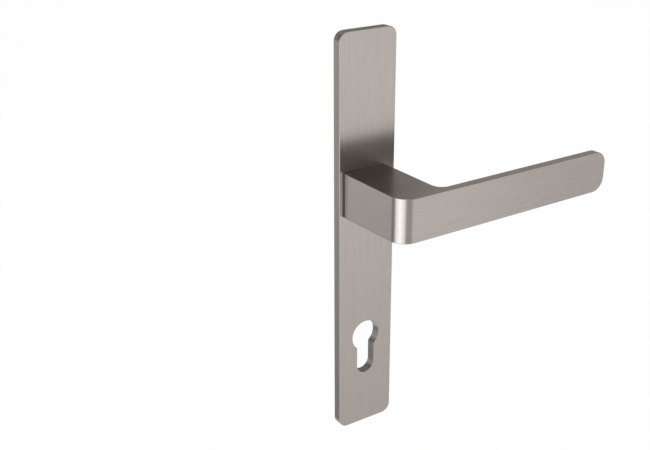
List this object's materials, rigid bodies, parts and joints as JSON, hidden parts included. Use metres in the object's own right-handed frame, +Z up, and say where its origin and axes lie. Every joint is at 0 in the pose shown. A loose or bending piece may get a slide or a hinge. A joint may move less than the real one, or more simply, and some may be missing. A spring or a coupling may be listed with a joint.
{
  "type": "lever door handle on long backplate",
  "caption": "Flat lever handle turning on a long narrow backplate with a profile-cylinder cut-out, spring return and a short square half spindle behind.",
  "frame": {"origin": "on the spindle's axis, at the door's face, where the plate's back lies", "axes": "+X along the lever from its neck to its tip, +Y into the door, +Z up along the plate"},
  "size_m": [0.151, 0.0753, 0.2361],
  "materials": {
    "satin_nickel": "brushed satin nickel",
    "zinc_casting": "raw die casting",
    "moulding": "acetal",
    "spring_steel": "oiled spring steel",
    "zinc_plated_steel": "zinc plated",
    "black_steel": "black oxide"
  },
  "bodies": {
    "plate": {"cover_plate": "satin_nickel", "base_plate": "zinc_casting", "bearing_bush": "moulding", "thrust_washer": "moulding", "stop_pin": "zinc_plated_steel", "return_spring": "spring_steel", "cover_grub_screw": "black_steel"},
    "lever": {"lever": "satin_nickel", "spindle": "zinc_plated_steel", "lever_grub_screw": "black_steel", "spring_driver": "zinc_plated_steel", "retaining_ring": "spring_steel"}
  },
  "joints": [
    {"name": "lever_turn", "type": "hinge", "parent": "plate", "child": "lever", "pos_m": [0, 0, 0], "axis": [0, 1, 0], "range_deg": [0, 45], "stiffness_Nm_per_rad": 0.4, "springref_deg": -63.03, "deforming": ["return_spring"]}
  ]
}
